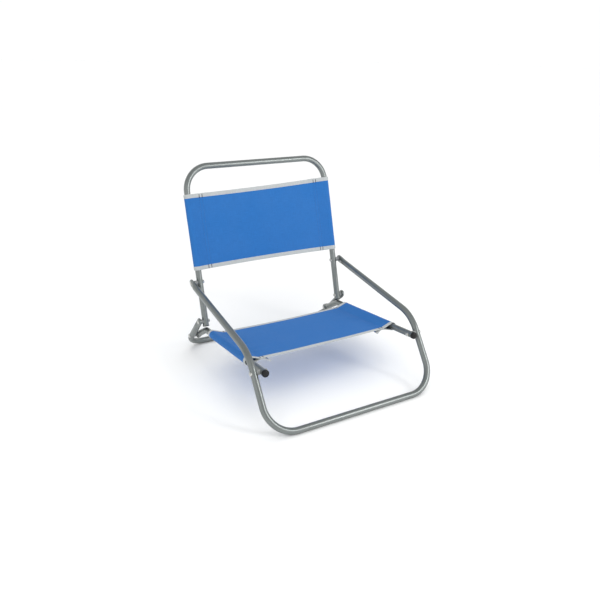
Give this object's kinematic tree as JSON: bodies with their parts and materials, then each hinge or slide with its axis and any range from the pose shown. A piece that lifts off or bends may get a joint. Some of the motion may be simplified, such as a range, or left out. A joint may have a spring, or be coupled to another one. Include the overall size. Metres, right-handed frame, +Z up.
{
  "type": "folding camp chair",
  "caption": "Low folding camp chair with a bent steel tube frame, arms, and fabric seat and back slings; the back folds down onto the seat.",
  "frame": {"origin": "on the ground, under the middle of the open chair's bounding box", "axes": "+Z up, +Y from the front ground bar towards the backrest (the sitter faces -Y), +X to the left of the sitter"},
  "size_m": [0.5648, 0.6389, 0.5997],
  "materials": {
    "painted_steel_tube": "silver-grey hammertone powder coat",
    "sling_fabric": "blue woven polyester",
    "binding_tape": "pale grey woven hem tape",
    "black_plastic": "black moulded plastic",
    "zinc_hardware": "zinc plated",
    "nylon_spacer": "black nylon"
  },
  "bodies": {
    "front_frame": {"leg_arm_frame": "painted_steel_tube", "bolt_arm_left": "zinc_hardware", "bolt_arm_right": "zinc_hardware", "nut_arm_left": "zinc_hardware", "nut_arm_right": "zinc_hardware", "spacer_arm_left": "nylon_spacer", "spacer_arm_right": "nylon_spacer", "bolt_seat_left": "zinc_hardware", "bolt_seat_right": "zinc_hardware", "nut_seat_left": "zinc_hardware", "nut_seat_right": "zinc_hardware", "spacer_seat_left": "nylon_spacer", "spacer_seat_right": "nylon_spacer"},
    "back": {"back_frame": "painted_steel_tube", "back_sling": "sling_fabric", "back_sling_binding_bottom": "binding_tape", "back_sling_binding_top": "binding_tape", "plug_back_left": "black_plastic", "plug_back_right": "black_plastic", "bolt_hinge_left": "zinc_hardware", "bolt_hinge_right": "zinc_hardware", "nut_hinge_left": "zinc_hardware", "nut_hinge_right": "zinc_hardware", "spacer_hinge_left": "nylon_spacer", "spacer_hinge_right": "nylon_spacer"},
    "rear_leg": {"rear_leg_frame": "painted_steel_tube", "bolt_tail_left": "zinc_hardware", "bolt_tail_right": "zinc_hardware", "nut_tail_left": "zinc_hardware", "nut_tail_right": "zinc_hardware", "spacer_tail_left": "nylon_spacer", "spacer_tail_right": "nylon_spacer"},
    "seat": {"seat_rail_left": "painted_steel_tube", "seat_rail_right": "painted_steel_tube", "seat_sling": "sling_fabric", "seat_sling_binding_front": "binding_tape", "seat_sling_binding_rear": "binding_tape", "plug_rail_left": "black_plastic", "plug_rail_right": "black_plastic"}
  },
  "joints": [
    {"name": "back_fold", "type": "hinge", "parent": "front_frame", "child": "back", "pos_m": [0, 0.21618, 0.2543], "axis": [1, 0, 0], "range_deg": [0, 115]},
    {"name": "rear_leg_fold", "type": "hinge", "parent": "back", "child": "rear_leg", "pos_m": [0, 0.18314, 0.13603], "axis": [1, 0, 0], "range_deg": [-204.3, 0]},
    {"name": "seat_fold", "type": "hinge", "parent": "rear_leg", "child": "seat", "pos_m": [0, 0.25636, 0.05994], "axis": [1, 0, 0], "range_deg": [0, 106.2]}
  ],
  "couplings": [
    {"joint": "rear_leg_fold", "follows": "back_fold", "ratio": -1.7762},
    {"joint": "seat_fold", "follows": "back_fold", "ratio": 0.92307}
  ]
}
